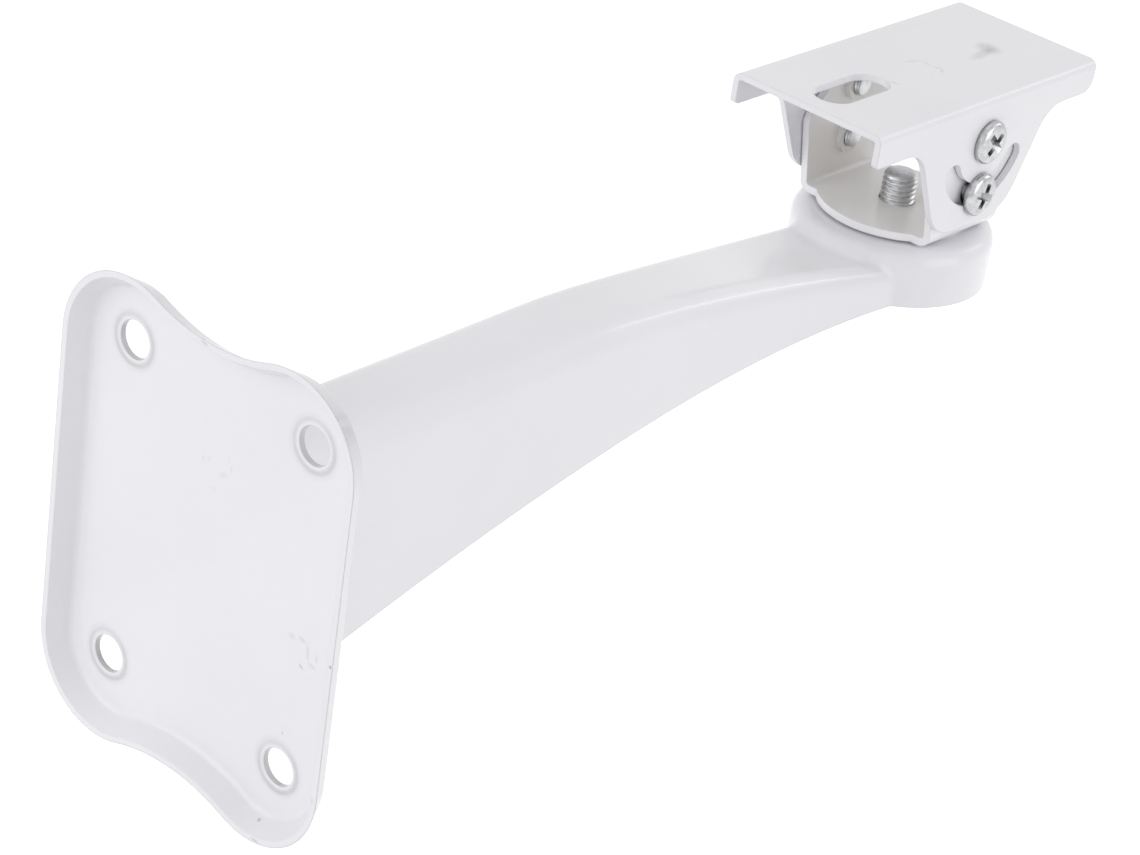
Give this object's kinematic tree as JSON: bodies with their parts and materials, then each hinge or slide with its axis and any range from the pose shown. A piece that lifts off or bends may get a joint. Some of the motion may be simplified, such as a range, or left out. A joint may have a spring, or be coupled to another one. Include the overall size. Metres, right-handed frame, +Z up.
{
  "type": "camera wall bracket",
  "caption": "Wall bracket for a surveillance camera: pressed wall plate, hollow curved arm, and a head that swivels and tilts.",
  "frame": {"origin": "centre of the four wall screw holes, on the plane of the wall", "axes": "+X straight out from the wall along the arm, +Y to the right of someone facing the wall, +Z up"},
  "size_m": [0.2488, 0.076, 0.1015],
  "materials": {
    "white_coat": "glossy white powder coat",
    "zinc_steel": "zinc plated"
  },
  "bodies": {
    "wall_arm": {"wall_plate": "white_coat", "arm": "white_coat"},
    "swivel": {"yoke": "white_coat", "swivel_bolt": "zinc_steel", "flat_washer": "zinc_steel", "spring_washer": "zinc_steel", "pivot_screw_left": "zinc_steel", "pivot_screw_right": "zinc_steel", "lock_screw_left": "zinc_steel", "lock_screw_right": "zinc_steel"},
    "camera_table": {"camera_plate": "white_coat"}
  },
  "joints": [
    {"name": "pan", "type": "hinge", "parent": "wall_arm", "child": "swivel", "pos_m": [0.21, 0, 0.0182], "axis": [0, 0, 1], "continuous": true},
    {"name": "tilt", "type": "hinge", "parent": "swivel", "child": "camera_table", "pos_m": [0.21, 0, 0.042], "axis": [0, 1, 0], "range_deg": [-40, 40]}
  ]
}
